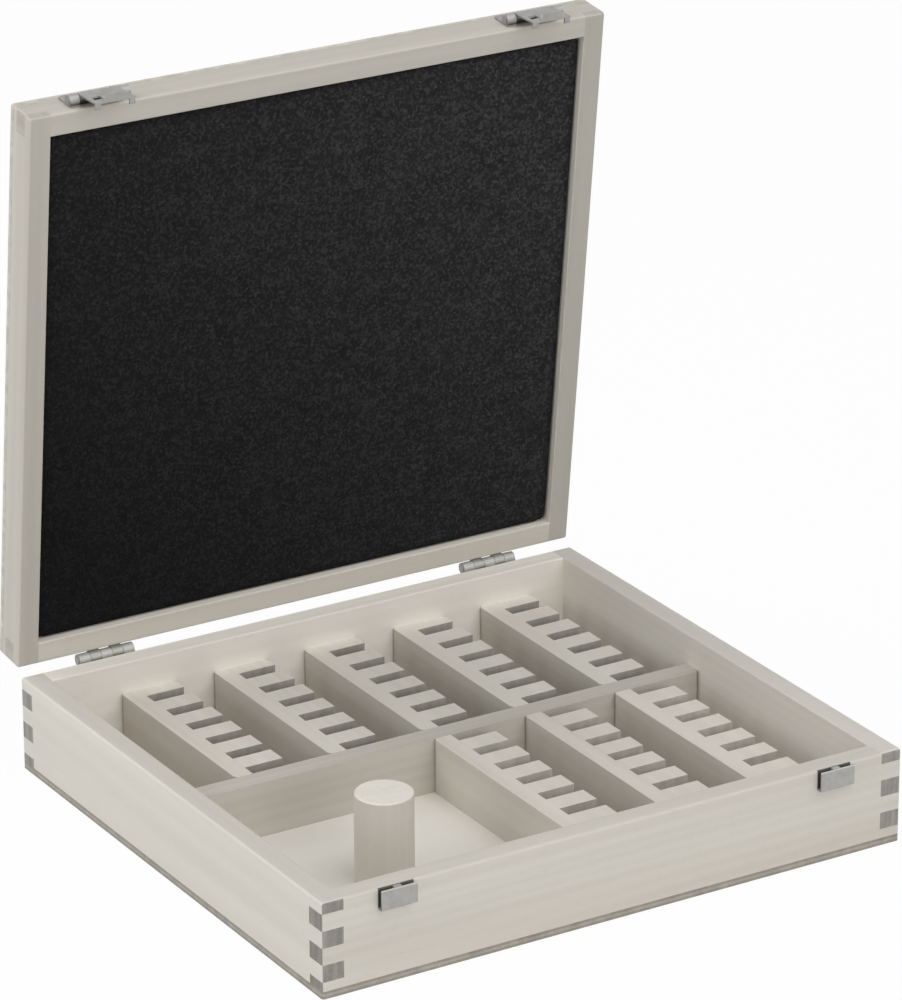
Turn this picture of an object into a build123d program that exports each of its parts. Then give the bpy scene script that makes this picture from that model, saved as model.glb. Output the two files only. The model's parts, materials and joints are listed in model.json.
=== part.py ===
"""Wooden storage case for a cutter head and its knives, open, with one STEP file for each piece.

Millimetres. +X is the case's right, +Y its back and +Z up. The origin is the centre of the underside.
"""
import os

from build123d import *

# Case
CASE_W = 336.0          # outer width, left to right
CASE_D = 310.0          # outer depth, front to back
BOARD_T = 12.0          # thickness of the boards and of the divider
PANEL_T = 4.0           # bottom panel and lid panel
BODY_BOARD_H = 47.0     # height of the body's boards on the bottom panel
LID_BOARD_H = 17.0      # height of the lid's boards under the lid panel
RIM_GAP = 0.3           # gap between the two rims when the case is closed
EDGE_ROUND = 1.5        # outer corners and outer rim edges
RIM_EASE = 0.8          # inner rim edges
PANEL_EASE = 1.0        # outer edge of the lid panel

# Finger joints, measured down from each rim
FINGER = 9.0
BODY_FIRST_FINGER = 6.0
LID_FIRST_FINGER = 5.0

# Inside of the body
INSERT_H = 30.0         # height of the divider and of the racks above the floor
FRONT_ROOM = 152.5      # front board to divider
INSERT_CHAMFER = 1.5    # upright end edges of the divider and the racks
RACK_W = 32.0
RACK_SPINE = 10.0       # solid left part of a rack, behind its slots
LEFT_GAP = 40.0         # left board to the first rack
RIGHT_GAP = 21.2        # last rack to the right board
RACK_COUNT_BACK = 5
RACK_COUNT_FRONT = 3    # the rightmost ones, in line with those behind the divider
SLOT_W = 8.3
SLOT_TOOTH = 12.5       # wood between two slots
SLOT_DEPTH = 22.0
LAST_TOOTH = 6.0        # least wood between the last slot and the board

# Cutter post
POST_D = 30.0
POST_FOAM_GAP = 1.3     # post top to the foam pad when the case is closed
POST_EASE = 1.0
POST_SCREW_D = 4.0
POST_SCREW_HEAD_D = 7.6
POST_SCREW_L = 22.0
HEAD_SINK = 0.2         # screw head below the underside

# Foam pad
FOAM_RECESS = 3.0       # foam face behind the lid's rim
FOAM_SIDE_GAP = 0.3

# Hinges
LID_OPEN = 83.6         # degrees that the lid stands open
HINGE_L = 32.0
HINGE_INSET = 51.0      # hinge centre to the end of the case
LEAF_H = 14.0           # from the pin axis
LEAF_T = 1.2
LEAF_CORNER = 1.5
KNUCKLE_R = 3.2
KNUCKLE_STANDOFF = 0.3  # knuckle to the back face of the case
KNUCKLES = 5
KNUCKLE_GAP = 0.2       # between neighbouring knuckles
KNUCKLE_CLEAR = 0.3     # between a knuckle and the notch in the other leaf
HINGE_PIN_R = 1.25
PIN_RUN = 0.05          # radial clearance where a knuckle turns on its pin
PIN_HOLD = 0.02         # radial clearance where a knuckle holds its pin
PIN_HEAD_R = 1.9
PIN_HEAD_T = 0.4
LEAF_SCREWS = 3
LEAF_SCREW_PITCH = 10.5
SCREW_R = 1.2           # shank of the hinge and latch screws
SCREW_L = 9.0           # length in the wood
SCREW_HEAD_R = 2.3
SCREW_POINT = 2.0
SCREW_TIP_R = 0.15
SCREW_HEAD_ROUND = 0.8  # edge of a round head
SCREW_FIT = 0.03        # radial clearance of a screw or prong in its hole
HOLE_SPARE = 0.5        # hole beyond the screw's point
RECESS_W = 0.6          # cross recess in a screw head
RECESS_L = 2.6
RECESS_DEPTH = 0.5

# Keepers
FITTING_INSET = 41.0    # keeper and latch centre to the end of the case
KEEPER_W = 20.0
KEEPER_H = 10.5
KEEPER_TOP_GAP = 0.2    # keeper top below the rim
KEEPER_OUT = 3.6
KEEPER_T = 0.8
KEEPER_WEB_W = 4.0      # web at the top, between the two openings
KEEPER_FOOT_H = 7.0
KEEPER_BEND = 0.6
PRONG_W = 2.4
PRONG_L = 6.0
PRONG_INSET = 3.0       # lower prongs to the keeper's ends

# Latches
BASE_W = 34.0
BASE_T = 1.0
BASE_TOP = 17.0         # top of the base above the lid's rim
LATCH_PIN_UP = 6.0      # pin axis above the lid's rim
LATCH_KNUCKLE_R = 2.8
LATCH_STANDOFF = 0.3    # flap's knuckle to the lid
LATCH_PIN_R = 1.1
FLAP_W = 22.4
FLAP_T = 0.9
FLAP_SIDE_GAP = 0.3     # flap's knuckle to the base's knuckles
FLAP_LIFT = 6.0         # degrees that the flap stands off the closed position
HOOK_W = 3.2
HOOK_REACH = 2.8        # hook inwards from the flap's inner face
HOOK_PLAY = 0.4         # hook below the keeper when the latch is closed
WINDOW_W = 5.0
WINDOW_H = 4.6
WINDOW_UP = -7.5        # lower edge of the flap's windows above the lid's rim
TONGUE_W = 8.0          # metal between the two windows
TAB_W = 13.0
TAB_OUT = 3.2           # finger tab, outwards from the flap's outer face
LATCH_CORNER = 2.0
LATCH_SCREW_X = 11.0    # latch screws to the latch's centre
LATCH_HEAD_T = 1.4

# Worked-out places
RIM_Z = PANEL_T + BODY_BOARD_H
LID_RIM_Z = RIM_Z + RIM_GAP
LID_TOP_Z = LID_RIM_Z + LID_BOARD_H
HALF_W = CASE_W / 2
HALF_D = CASE_D / 2
IN_X = HALF_W - BOARD_T
IN_Y = HALF_D - BOARD_T
DIVIDER_Y0 = -IN_Y + FRONT_ROOM
DIVIDER_Y1 = DIVIDER_Y0 + BOARD_T
INSERT_TOP = PANEL_T + INSERT_H
RACK_PITCH = (2 * IN_X - LEFT_GAP - RIGHT_GAP - RACK_W) / (RACK_COUNT_BACK - 1)
FIRST_FRONT = RACK_COUNT_BACK - RACK_COUNT_FRONT
PIN_OUT = KNUCKLE_R + KNUCKLE_STANDOFF
HINGE_Y = HALF_D + PIN_OUT
HINGE_Z = RIM_Z + RIM_GAP / 2
HINGE_X = HALF_W - HINGE_INSET
FITTING_X = HALF_W - FITTING_INSET
LATCH_PIN_OUT = LATCH_KNUCKLE_R + LATCH_STANDOFF
LATCH_Y = -HALF_D - LATCH_PIN_OUT
LATCH_Z = LID_RIM_Z + LATCH_PIN_UP
KEEPER_TOP = RIM_Z - KEEPER_TOP_GAP
KEEPER_BOTTOM = KEEPER_TOP - KEEPER_H
OVER = 1.0              # how far a cutting solid runs past what it cuts


def block(x0, x1, y0, y1, z0, z1):
    """Box between two corners."""
    middle = Pos((x0 + x1) / 2, (y0 + y1) / 2, (z0 + z1) / 2)
    return middle * Box(abs(x1 - x0), abs(y1 - y0), abs(z1 - z0))


def rod_x(radius, x0, x1):
    """Cylinder along X on the X axis."""
    return Pos((x0 + x1) / 2, 0, 0) * Rot(0, 90, 0) * Cylinder(radius, x1 - x0)


def rack_x(i):
    """Left face of rack i, counted from the left."""
    return -IN_X + LEFT_GAP + i * RACK_PITCH


def open_lid(piece):
    """Turn a piece of the closed lid about the hinge pins to where the lid stands open."""
    pin = Pos(0, HINGE_Y, HINGE_Z)
    return pin * Rot(-LID_OPEN, 0, 0) * pin.inverse() * piece


# Boards

def finger_cuts(height, first):
    """Depths below the rim where the corner changes from one board to the other."""
    cuts = [0.0, first]
    while cuts[-1] + FINGER < height:
        cuts.append(cuts[-1] + FINGER)
    return cuts + [height]


def ring(height):
    """The four boards as one rounded ring, with its rim at z = 0 and its foot at z = -height."""
    outer = block(-HALF_W, HALF_W, -HALF_D, HALF_D, -height, 0)
    rim = outer.faces().sort_by(Axis.Z)[-1].edges()
    outer = fillet(outer.edges().filter_by(Axis.Z) + rim, EDGE_ROUND)
    room = block(-IN_X, IN_X, -IN_Y, IN_Y, -height - OVER, OVER)
    body = outer - room
    inner_rim = body.faces().sort_by(Axis.Z)[-1].inner_wires()[0].edges()
    return fillet(inner_rim, RIM_EASE)


def cut_boards(height, first):
    """Cut the ring into its boards along the finger joints. Side boards hold the rim's corners."""
    whole = ring(height)
    cuts = finger_cuts(height, first)
    bands = list(zip(cuts, cuts[1:]))
    far_x = HALF_W + OVER
    far_y = HALF_D + OVER
    boards = {}
    for name, side in (("left", -1), ("right", 1)):
        region = block(side * IN_X, side * far_x, -IN_Y, IN_Y, -height, 0)
        for top, bottom in bands[0::2]:
            region += block(side * IN_X, side * far_x, -far_y, far_y, -bottom, -top)
        boards[name] = whole & region
    for name, side in (("front", -1), ("back", 1)):
        region = block(-IN_X, IN_X, side * IN_Y, side * far_y, -height, 0)
        for top, bottom in bands[1::2]:
            region += block(-far_x, far_x, side * IN_Y, side * far_y, -bottom, -top)
        boards[name] = whole & region
    return boards


def panel(z0, z1, eased):
    """Bottom or lid panel over the whole footprint, with an eased outer edge on the lid's."""
    plate = block(-HALF_W, HALF_W, -HALF_D, HALF_D, z0, z1)
    plate = fillet(plate.edges().filter_by(Axis.Z), EDGE_ROUND)
    if eased:
        plate = fillet(plate.faces().sort_by(Axis.Z)[-1].edges(), PANEL_EASE)
    return plate


# Inside of the body

def divider():
    """Board from wall to wall, with chamfered upright end edges."""
    board = block(-IN_X, IN_X, DIVIDER_Y0, DIVIDER_Y1, PANEL_T, INSERT_TOP)
    return chamfer(board.edges().filter_by(Axis.Z), INSERT_CHAMFER)


def rack(x0, y_start, y_end):
    """Slotted rack. Its slots start at the divider, at y_start, and open to the right."""
    body = block(x0, x0 + RACK_W, min(y_start, y_end), max(y_start, y_end), PANEL_T, INSERT_TOP)
    body = chamfer(body.edges().filter_by(Axis.Z), INSERT_CHAMFER)
    step = SLOT_W + SLOT_TOOTH
    way = 1 if y_end > y_start else -1
    count = int((abs(y_end - y_start) - SLOT_W - LAST_TOOTH) // step) + 1
    for j in range(count):
        near = y_start + way * j * step
        start = near - way * OVER if j == 0 else near
        far = near + way * SLOT_W
        slot_z = INSERT_TOP - SLOT_DEPTH
        body -= block(x0 + RACK_SPINE, x0 + RACK_W + OVER, min(start, far), max(start, far),
                      slot_z, INSERT_TOP + OVER)
    return body


def screw(radius, head_r, head_t, length, countersunk):
    """Wood screw pointing down, with the underside of a round head, or a flush head's top, at z = 0."""
    straight = length - SCREW_POINT
    shank = Pos(0, 0, -straight / 2) * Cylinder(radius, straight)
    shank += Pos(0, 0, -straight - SCREW_POINT / 2) * Cone(SCREW_TIP_R, radius, SCREW_POINT)
    if countersunk:
        head = Pos(0, 0, -head_t / 2) * Cone(radius, head_r, head_t)
        top = 0.0
    else:
        head = Pos(0, 0, head_t / 2) * Cylinder(head_r, head_t)
        head = fillet(head.edges().sort_by(Axis.Z)[-1], SCREW_HEAD_ROUND)
        top = head_t
    piece = shank + head
    for turn in (0, 90):
        recess = Box(RECESS_L, RECESS_W, RECESS_DEPTH)
        piece -= Pos(0, 0, top - RECESS_DEPTH / 2) * Rot(0, 0, turn) * recess
    return piece


def screw_hole(radius, head_r, head_t, length, countersunk):
    """What a screw cuts out of the pieces that it passes through."""
    deep = length + HOLE_SPARE
    hole = Pos(0, 0, -deep / 2) * Cylinder(radius + SCREW_FIT, deep)
    if countersunk:
        hole += Pos(0, 0, -head_t / 2) * Cone(radius + SCREW_FIT, head_r + SCREW_FIT, head_t)
    return hole


def post_centre():
    """The middle of the free compartment."""
    x = (-IN_X + rack_x(FIRST_FRONT)) / 2
    y = (-IN_Y + DIVIDER_Y0) / 2
    return x, y


def post_pieces():
    """Cutter post, its screw and what the screw cuts."""
    x, y = post_centre()
    top = LID_RIM_Z + FOAM_RECESS - POST_FOAM_GAP
    height = top - PANEL_T
    post = Pos(x, y, PANEL_T + height / 2) * Cylinder(POST_D / 2, height)
    post = fillet(post.edges().sort_by(Axis.Z)[-1], POST_EASE)
    head_t = (POST_SCREW_HEAD_D - POST_SCREW_D) / 2
    sizes = (POST_SCREW_D / 2, POST_SCREW_HEAD_D / 2, head_t, POST_SCREW_L, True)
    up = Pos(x, y, HEAD_SINK) * Rot(180, 0, 0)
    access = Pos(x, y, HEAD_SINK / 2) * Cylinder(POST_SCREW_HEAD_D / 2 + SCREW_FIT, HEAD_SINK)
    return post, up * screw(*sizes), up * screw_hole(*sizes) + access


# Hinges

def knuckle_span(k):
    """Start and end of knuckle k along the hinge, from the hinge's centre."""
    pitch = HINGE_L / KNUCKLES
    start = -HINGE_L / 2 + k * pitch
    return start, start + pitch


def leaf(own):
    """Hinge leaf below the pin axis, which is the X axis. own lists the knuckles that it carries."""
    back = -PIN_OUT
    plate = block(-HINGE_L / 2, HINGE_L / 2, back, back + LEAF_T, -LEAF_H, 0)
    low = plate.edges().filter_by(Axis.Y).group_by(Axis.Z)[0]
    plate = fillet(low, LEAF_CORNER)
    pin_room = PIN_HOLD if 0 in own else PIN_RUN
    for k in range(KNUCKLES):
        start, end = knuckle_span(k)
        if k in own:
            gap_start = 0 if k == 0 else KNUCKLE_GAP / 2
            gap_end = 0 if k == KNUCKLES - 1 else KNUCKLE_GAP / 2
            plate += rod_x(KNUCKLE_R, start + gap_start, end - gap_end)
        else:
            start -= KNUCKLE_GAP / 2 if k else OVER
            end += KNUCKLE_GAP / 2 if k < KNUCKLES - 1 else OVER
            notch = KNUCKLE_R + KNUCKLE_CLEAR
            plate -= block(start, end, back - OVER, back + LEAF_T + OVER, -notch, OVER)
    for k in own:
        start, end = knuckle_span(k)
        plate -= rod_x(HINGE_PIN_R + pin_room, start - OVER, end + OVER)
    return plate


def leaf_screw_spots():
    """Screw places on a leaf below the pin axis, on its outer face and pointing into the wood."""
    z = -(KNUCKLE_R + KNUCKLE_CLEAR + LEAF_H) / 2
    middle = (LEAF_SCREWS - 1) / 2
    return [Pos((i - middle) * LEAF_SCREW_PITCH, LEAF_T - PIN_OUT, z) * Rot(-90, 0, 0)
            for i in range(LEAF_SCREWS)]


def hinge_parts():
    """Both hinges: body leaves, lid leaves closed, pins, screws and what the screws cut."""
    below = [k for k in range(KNUCKLES) if k % 2 == 0]
    above = [k for k in range(KNUCKLES) if k % 2 == 1]
    head_t = LEAF_T
    sizes = (SCREW_R, SCREW_HEAD_R, head_t, SCREW_L + LEAF_T, True)
    one_screw = screw(*sizes)
    one_hole = screw_hole(*sizes)
    body_screws = [spot * one_screw for spot in leaf_screw_spots()]
    body_holes = [spot * one_hole for spot in leaf_screw_spots()]
    body_leaf = leaf(below)
    lid_leaf = mirror(leaf(above), about=Plane.XY)
    lid_screws = [mirror(s, about=Plane.XY) for s in body_screws]
    lid_holes = [mirror(h, about=Plane.XY) for h in body_holes]
    for hole in body_holes:
        body_leaf -= hole
    for hole in lid_holes:
        lid_leaf -= hole
    pin = rod_x(HINGE_PIN_R, -HINGE_L / 2, HINGE_L / 2)
    pin += rod_x(PIN_HEAD_R, -HINGE_L / 2 - PIN_HEAD_T, -HINGE_L / 2)
    pin += rod_x(PIN_HEAD_R, HINGE_L / 2, HINGE_L / 2 + PIN_HEAD_T)
    return body_leaf, lid_leaf, pin, body_screws, lid_screws, body_holes, lid_holes


# Keepers

def keeper(x):
    """Pressed keeper below the rim: face, closed foot edge, top web with its foot, and prongs."""
    face = -HALF_D
    out = face - KEEPER_OUT
    half = KEEPER_W / 2
    plate = block(x - half, x + half, out, out + KEEPER_T, KEEPER_BOTTOM, KEEPER_TOP)
    sill = block(x - half, x + half, out, face, KEEPER_BOTTOM, KEEPER_BOTTOM + KEEPER_T)
    web_half = KEEPER_WEB_W / 2
    web = block(x - web_half, x + web_half, out, face, KEEPER_TOP - KEEPER_T, KEEPER_TOP)
    foot_z = KEEPER_TOP - KEEPER_FOOT_H
    foot = block(x - web_half, x + web_half, face - KEEPER_T, face, foot_z, KEEPER_TOP)
    piece = plate + sill + web + foot
    front_edges = piece.edges().filter_by(Axis.X).group_by(Axis.Y)[0]
    piece = fillet(front_edges, KEEPER_BEND)
    for prong in keeper_prongs(x, 0):
        piece += prong
    return piece


def keeper_prongs(x, spare):
    """The keeper's prongs in the wood, or their holes where spare is the clearance."""
    face = -HALF_D
    half = PRONG_W / 2 + spare
    end = face + PRONG_L + (HOLE_SPARE if spare else 0)
    start = face - (OVER if spare else KEEPER_T / 2)
    low = KEEPER_BOTTOM
    middle = KEEPER_TOP - KEEPER_FOOT_H
    reach = KEEPER_W / 2 - PRONG_INSET
    spots = [(x - reach, low), (x + reach, low), (x, middle)]
    return [block(sx - half, sx + half, start, end, z - spare, z + KEEPER_T + spare)
            for sx, z in spots]


# Latches, in a frame with the flap's pin on the X axis, outwards as -Y and the lid's rim below

def latch_base():
    """Base plate with a knuckle at each side of the flap."""
    back = LATCH_PIN_OUT
    top = BASE_TOP - LATCH_PIN_UP
    half = BASE_W / 2
    plate = block(-half, half, back - BASE_T, back, -LATCH_KNUCKLE_R, top)
    plate = fillet(plate.edges().filter_by(Axis.Y).group_by(Axis.Z)[-1], LATCH_CORNER)
    inner = FLAP_W / 2 + FLAP_SIDE_GAP
    room = LATCH_KNUCKLE_R + FLAP_SIDE_GAP
    plate -= block(-inner, inner, back - BASE_T - OVER, back + OVER, -LATCH_KNUCKLE_R - OVER, room)
    for side in (-1, 1):
        ends = sorted((side * inner, side * half))
        plate += rod_x(LATCH_KNUCKLE_R, *ends)
        cheek = block(*ends, -LATCH_KNUCKLE_R / 2, back, -LATCH_KNUCKLE_R / 2, LATCH_KNUCKLE_R)
        plate += cheek
    plate -= rod_x(LATCH_PIN_R + PIN_HOLD, -half - OVER, half + OVER)
    return plate


def latch_flap():
    """Flap in its closed position, hanging down from its knuckle past the rim."""
    half = FLAP_W / 2
    outer = -LATCH_KNUCKLE_R
    inner = outer + FLAP_T
    hook_top = KEEPER_BOTTOM - HOOK_PLAY - LATCH_Z
    end = hook_top - FLAP_T
    plate = block(-half, half, outer, inner, end, 0)
    plate += rod_x(LATCH_KNUCKLE_R, -half, half)
    low = WINDOW_UP - LATCH_PIN_UP
    for side in (-1, 1):
        near = side * TONGUE_W / 2
        far = near + side * WINDOW_W
        plate -= block(near, far, outer - OVER, inner + OVER, low, low + WINDOW_H)
        hook = block(side * (half - HOOK_W), side * half, outer, inner + HOOK_REACH, end, hook_top)
        plate += hook
    tab = block(-TAB_W / 2, TAB_W / 2, outer - TAB_OUT, inner, end, end + FLAP_T)
    tab_corners = tab.edges().filter_by(Axis.Z).group_by(Axis.Y)[0]
    plate += fillet(tab_corners, LATCH_CORNER)
    plate -= rod_x(LATCH_PIN_R + PIN_RUN, -half - OVER, half + OVER)
    return plate


def latch_screw_spots():
    """Screw places on the base's outer face, pointing into the lid."""
    z = (LATCH_KNUCKLE_R + FLAP_SIDE_GAP + BASE_TOP - LATCH_PIN_UP) / 2
    y = LATCH_PIN_OUT - BASE_T
    return [Pos(side * LATCH_SCREW_X, y, z) * Rot(90, 0, 0) for side in (-1, 1)]


def latch_parts():
    """One latch closed: base, pin, flap in its rest position, screws and what they cut."""
    sizes = (SCREW_R, SCREW_HEAD_R, LATCH_HEAD_T, SCREW_L + BASE_T, False)
    screws = [spot * screw(*sizes) for spot in latch_screw_spots()]
    holes = [spot * screw_hole(*sizes) for spot in latch_screw_spots()]
    base = latch_base()
    for hole in holes:
        base -= hole
    pin = rod_x(LATCH_PIN_R, -BASE_W / 2, BASE_W / 2)
    pin += rod_x(PIN_HEAD_R, -BASE_W / 2 - PIN_HEAD_T, -BASE_W / 2)
    pin += rod_x(PIN_HEAD_R, BASE_W / 2, BASE_W / 2 + PIN_HEAD_T)
    flap = Rot(-FLAP_LIFT, 0, 0) * latch_flap()
    return base, pin, flap, screws, holes


def build():
    """Make every piece where it lies with the lid open."""
    parts = {}
    body = {side: Pos(0, 0, RIM_Z) * b for side, b in cut_boards(BODY_BOARD_H, BODY_FIRST_FINGER).items()}
    lid = {side: Pos(0, 0, LID_RIM_Z) * mirror(b, about=Plane.XY)
           for side, b in cut_boards(LID_BOARD_H, LID_FIRST_FINGER).items()}

    post, post_screw, post_hole = post_pieces()
    parts["cutter_post"] = post - post_hole
    parts["post_screw"] = post_screw
    parts["bottom_panel"] = panel(0, PANEL_T, False) - post_hole
    parts["divider"] = divider()
    for i in range(RACK_COUNT_BACK):
        parts[f"rack_back_{i + 1}"] = rack(rack_x(i), DIVIDER_Y1, IN_Y)
    for i in range(RACK_COUNT_FRONT):
        parts[f"rack_front_{i + 1}"] = rack(rack_x(FIRST_FRONT + i), DIVIDER_Y0, -IN_Y)

    body_leaf, lid_leaf, pin, body_screws, lid_screws, body_holes, lid_holes = hinge_parts()
    base, latch_pin, flap, latch_screws, latch_holes = latch_parts()
    all_body_screws = []
    all_lid_screws = []
    all_latch_screws = []
    for name, side in (("left", -1), ("right", 1)):
        hinge = Pos(side * HINGE_X, HINGE_Y, HINGE_Z)
        parts[f"hinge_{name}_body_leaf"] = hinge * body_leaf
        parts[f"hinge_{name}_pin"] = hinge * pin
        parts[f"hinge_{name}_lid_leaf"] = open_lid(hinge * lid_leaf)
        all_body_screws += [hinge * s for s in body_screws]
        all_lid_screws += [open_lid(hinge * s) for s in lid_screws]
        for hole in body_holes:
            body["back"] -= hinge * hole
        for hole in lid_holes:
            lid["back"] -= hinge * hole

        parts[f"keeper_{name}"] = keeper(side * FITTING_X)
        for hole in keeper_prongs(side * FITTING_X, SCREW_FIT):
            body["front"] -= hole

        latch = Pos(side * FITTING_X, LATCH_Y, LATCH_Z)
        parts[f"latch_{name}_base"] = open_lid(latch * base)
        parts[f"latch_{name}_pin"] = open_lid(latch * latch_pin)
        parts[f"latch_{name}_flap"] = open_lid(latch * flap)
        all_latch_screws += [open_lid(latch * s) for s in latch_screws]
        for hole in latch_holes:
            lid["front"] -= latch * hole

    parts["hinge_body_screws"] = Compound(children=all_body_screws)
    parts["hinge_lid_screws"] = Compound(children=all_lid_screws)
    parts["latch_screws"] = Compound(children=all_latch_screws)
    for side, board in body.items():
        parts[f"body_{side}_wall"] = board
    for side, board in lid.items():
        parts[f"lid_{side}_rail"] = open_lid(board)
    parts["lid_panel"] = open_lid(panel(LID_TOP_Z, LID_TOP_Z + PANEL_T, True))
    foam_x = IN_X - FOAM_SIDE_GAP
    foam_y = IN_Y - FOAM_SIDE_GAP
    foam = block(-foam_x, foam_x, -foam_y, foam_y, LID_RIM_Z + FOAM_RECESS, LID_TOP_Z)
    parts["foam_pad"] = open_lid(foam)
    return parts


os.makedirs("parts", exist_ok=True)
for node, shape in build().items():
    export_step(shape, f"parts/{node}.step")
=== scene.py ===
"""Finishes, foam pad, light and camera of an open wooden case for a cutter head and its knives.

Metres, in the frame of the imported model: +X right, +Y back, +Z up, origin under the middle of the case.
"""
import json
import logging
import math
from dataclasses import dataclass, field, replace
from enum import Enum
from typing import Optional, Sequence, Union

import bpy
import numpy as np
from mathutils import Euler, Matrix, Vector


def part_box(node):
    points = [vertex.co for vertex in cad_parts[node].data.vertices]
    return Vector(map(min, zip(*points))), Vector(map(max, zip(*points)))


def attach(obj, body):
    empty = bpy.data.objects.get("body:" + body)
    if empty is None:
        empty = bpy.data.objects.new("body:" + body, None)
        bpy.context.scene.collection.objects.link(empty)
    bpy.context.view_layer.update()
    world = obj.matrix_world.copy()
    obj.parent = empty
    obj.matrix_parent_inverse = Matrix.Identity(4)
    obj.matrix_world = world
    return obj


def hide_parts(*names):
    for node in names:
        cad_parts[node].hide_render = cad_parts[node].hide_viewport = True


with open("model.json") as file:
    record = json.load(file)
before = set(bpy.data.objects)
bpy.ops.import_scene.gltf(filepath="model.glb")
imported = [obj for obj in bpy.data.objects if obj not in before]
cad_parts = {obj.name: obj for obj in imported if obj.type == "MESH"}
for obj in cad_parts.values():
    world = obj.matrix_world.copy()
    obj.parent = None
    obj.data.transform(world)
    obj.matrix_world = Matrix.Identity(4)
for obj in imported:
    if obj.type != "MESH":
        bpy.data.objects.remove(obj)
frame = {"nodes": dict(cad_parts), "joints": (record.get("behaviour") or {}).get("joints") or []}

log = logging.getLogger("cutter_head_case")

Colour = tuple[float, float, float]
Triple = tuple[float, float, float]
Range = tuple[float, float]
Socket = bpy.types.NodeSocket
Number = Union[float, Socket]

MM = 0.001
PLAIN: Triple = (1.0, 1.0, 1.0)
# Radians that Blender's ring wave goes through in one unit of its scaled place.
WAVE_RATE = 20.0
# Colour sockets of Blender's mix node, whose names repeat for each kind of data.
MIX_FIRST, MIX_SECOND, MIX_RESULT = 6, 7, 2


def lid_angle() -> float:
    """Give the angle that the lid stands open, which is what its hinge can turn until it is shut."""
    hinge = next(joint for joint in frame["joints"] if joint["name"] == "lid_hinge")
    return math.radians(max(hinge["range_deg"]))


LID_OPEN = lid_angle()


class Grain(Enum):
    """Turn, as X, Y and Z angles, that lays a piece's grain along the X axis of its pattern."""

    ALONG_X = (0.0, 0.0, 0.0)
    ALONG_Y = (0.0, 0.0, -math.pi / 2)
    ALONG_Z = (0.0, math.pi / 2, 0.0)
    LID_ALONG_X = (LID_OPEN, 0.0, 0.0)
    LID_ALONG_Y = (LID_OPEN, 0.0, -math.pi / 2)


@dataclass(frozen=True)
class Clouds:
    """Cloudy noise: clouds in a metre, finer layers, their weight, and factors on its place.

    A small factor draws the clouds out along its axis.
    """

    scale: float
    detail: float
    rough: float
    stretch: Triple = PLAIN


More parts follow.
